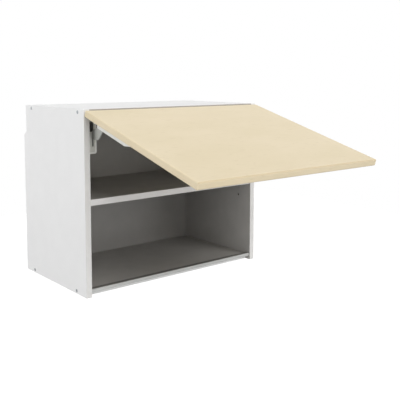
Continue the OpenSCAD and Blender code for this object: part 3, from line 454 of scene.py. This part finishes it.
def addCrossScrew(mesh, base, outward, head, shank):
    # head and shank are each a radius and a length; the base is where the head sits
    spec = panHead
    count = spec["sides"]
    place = Matrix.Translation(Vector(base)) @ Vector(outward).to_track_quat("Z", "Y").to_matrix().to_4x4()
    profile = [(shank[0], -shank[1]), (shank[0], 0), (head[0], 0)]
    profile += [(head[0] * wide, head[1] * high) for wide, high in spec["dome"]]
    rings = []
    for radius, height in profile:
        turns = [2 * math.pi * i / count for i in range(count)]
        rings.append([mesh.verts.new(place @ Vector((radius * math.cos(t), radius * math.sin(t), height)))
            for t in turns])
    mesh.faces.new(rings[0])
    for low, high in zip(rings, rings[1:]):
        for i in range(count):
            mesh.faces.new([low[i], low[(i + 1) % count], high[(i + 1) % count], high[i]])
    w, reach = head[0] * spec["slotWidth"] / 2, head[0] * spec["slotReach"]
    cross = [(w, w), (w, reach), (-w, reach), (-w, w), (-reach, w), (-reach, -w), (-w, -w), (-w, -reach),
        (w, -reach), (w, -w), (reach, -w), (reach, w)]
    taper, floorHeight = spec["slotTaper"], head[1] * (1 - spec["slotDepth"])
    upper = [mesh.verts.new(place @ Vector((u, v, head[1]))) for u, v in cross]
    lower = [mesh.verts.new(place @ Vector((u * taper, v * taper, floorHeight))) for u, v in cross]
    corners = len(cross)
    rim = [mesh.edges.get([rings[-1][i], rings[-1][(i + 1) % count]]) for i in range(count)]
    mouth = [mesh.edges.new([upper[i], upper[(i + 1) % corners]]) for i in range(corners)]
    bmesh.ops.triangle_fill(mesh, edges=rim + mouth, use_beauty=True)
    for i in range(corners):
        mesh.faces.new([upper[i], upper[(i + 1) % corners], lower[(i + 1) % corners], lower[i]])
    mesh.faces.new(lower)


# where the hinges, door brackets and hangers are screwed on, in mm with the door closed
screwPlaces = {"hingeX": 180, "cupY": -351, "cupZ": 468, "cupApart": 18, "plateY": -300, "plateZ": 472,
    "plateApart": 14, "bracketX": 271.5, "bracketY": -350, "bracketTop": 447.5, "bracketStep": 41,
    "bracketOffset": 6.15, "hangerX": 281, "hangerY": -53, "hangerZ": (463, 419)}
at = screwPlaces
# the way out of the door's inner face, and the two sides of the cabinet or of a hinge
doorOut = onDoor.to_3x3() @ Vector((0, 1, 0))
sides = (-1, 1)
crossScrews = {
    "hinge_cup_screws": {"body": "door", "head": (3.2, 0.7), "shank": (1.75, 12),
        "at": [(onDoor @ Vector((s * at["hingeX"] + d * at["cupApart"], at["cupY"], at["cupZ"])), doorOut)
            for s in sides for d in sides]},
    "door_bracket_screws": {"body": "door", "head": (3.5, 2.0), "shank": (1.75, 13),
        "at": [(onDoor @ Vector((s * at["bracketX"], at["bracketY"],
            at["bracketTop"] - at["bracketOffset"] - at["bracketStep"] * i)), doorOut)
            for s in sides for i in (1, 2, 3)]},
    "hinge_plate_screws": {"body": "carcass", "head": (3.2, 2.0), "shank": (1.75, 14),
        "at": [(Vector((s * at["hingeX"] + d * at["plateApart"], at["plateY"], at["plateZ"])),
            Vector((0, 0, -1))) for s in sides for d in sides]},
    "hanger_fixing_screws": {"body": "carcass", "head": (4.0, 2.2), "shank": (2.0, 15),
        "at": [(Vector((s * at["hangerX"], at["hangerY"], z)), Vector((-s, 0, 0)))
            for s in sides for z in at["hangerZ"]]},
}
for node, spec in crossScrews.items():
    mesh = bmesh.new()
    for base, outward in spec["at"]:
        addCrossScrew(mesh, base, outward, spec["head"], spec["shank"])
    piece = finishPiece(node + "_cross", mesh, "zinc", spec["body"], panHead["rounding"])
    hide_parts(node)
print("screws built:", len(crossScrews), "groups")

# one soft light from above the front, one from the left and weaker ones that fill, in an even
# white room: for each the direction it comes from, its width in degrees and the share of full
# white that it adds on a surface facing it
lamps = {
    "key": ((0, -0.7, 0.7), 50, 0.66),
    "left": ((-1, 0, 0.02), 50, 0.51),
    "left front": ((-0.7, -0.7, 0.05), 50, 0.09),
    "right front": ((0.6, -0.8, 0.05), 50, 0.28),
    "right": ((1, 0.2, -0.02), 15, 0.4),
    "back": ((0.25, 1, -0.02), 15, 0.45),
}
room = {"ambient": 0.27, "seenWhite": 1.0, "white": "#ffffff", "lampAway": 3, "floorZ": -1.4,
    "floorSize": 14.0, "floorLit": 0.5, "floorGlow": 0.75}


def softLamp(name, place, width, strength):
    lamp = bpy.data.lights.new(name, "SUN")
    lamp.angle = math.radians(width)
    lamp.energy = strength * math.pi
    holder = bpy.data.objects.new(name, lamp)
    holder.rotation_euler = Vector(place).to_track_quat("Z", "Y").to_euler()
    holder.location = Vector(place).normalized() * room["lampAway"]
    scene.collection.objects.link(holder)


for name, spec in lamps.items():
    softLamp(name, *spec)

world = bpy.data.worlds.new("white studio")
world.use_nodes = True
tree = world.node_tree
tree.nodes.clear()
rays = addNode(tree, "ShaderNodeLightPath")
seen = addNode(tree, "ShaderNodeMath", {"operation": "MAXIMUM"},
    {0: rays.outputs["Is Camera Ray"], 1: rays.outputs["Is Glossy Ray"]})
seen = addNode(tree, "ShaderNodeMath", {"operation": "MAXIMUM"},
    {0: seen.outputs[0], 1: rays.outputs["Is Transmission Ray"]})
strength = addNode(tree, "ShaderNodeMapRange", {"To Min": room["ambient"], "To Max": room["seenWhite"]},
    {"Value": seen.outputs[0]})
sky = addNode(tree, "ShaderNodeBackground", {"Color": linearColour(room["white"])},
    {"Strength": strength.outputs[0]})
addNode(tree, "ShaderNodeOutputWorld", links={"Surface": sky.outputs[0]})
scene.world = world

half = room["floorSize"] / 2
floorMesh = bpy.data.meshes.new("studio floor")
corners = [(-half, -half, 0), (half, -half, 0), (half, half, 0), (-half, half, 0)]
floorMesh.from_pydata(corners, [], [(0, 1, 2, 3)])
floor = bpy.data.objects.new("studio floor", floorMesh)
floor.location = (0, 0, room["floorZ"])
scene.collection.objects.link(floor)
# seen straight on the floor glows to white where it is lit, and keeps the cabinet's shadow
paper = bpy.data.materials.new("studio paper")
paper.use_nodes = True
tree = paper.node_tree
tree.nodes.clear()
lit = addNode(tree, "ShaderNodeBsdfDiffuse", {"Color": [room["floorLit"]] * 3 + [1]})
rays = addNode(tree, "ShaderNodeLightPath")
glowLevel = addNode(tree, "ShaderNodeMapRange", {"To Min": 0.0, "To Max": room["floorGlow"]},
    {"Value": rays.outputs["Is Camera Ray"]})
glow = addNode(tree, "ShaderNodeEmission", {"Color": linearColour(room["white"])},
    {"Strength": glowLevel.outputs[0]})
total = addNode(tree, "ShaderNodeAddShader", links={0: lit.outputs[0], 1: glow.outputs[0]})
addNode(tree, "ShaderNodeOutputMaterial", links={"Surface": total.outputs[0]})
floorMesh.materials.append(paper)
print("studio built")

# the photograph's viewpoint, found from the cabinet's edges
view = {"place": (-1.1329, -1.8133, 0.5734), "yaw": 39.29, "pitch": 5.52, "lens": 59.36,
    "sensor": 36, "shift": (0.0107, -0.1499)}
cameraData = bpy.data.cameras.new("studio camera")
cameraData.lens = view["lens"]
cameraData.sensor_width = view["sensor"]
cameraData.shift_x, cameraData.shift_y = view["shift"]
camera = bpy.data.objects.new("studio camera", cameraData)
camera.location = view["place"]
camera.rotation_euler = (math.radians(90 - view["pitch"]), 0, math.radians(-view["yaw"]))
scene.collection.objects.link(camera)
scene.camera = camera
print("camera placed")
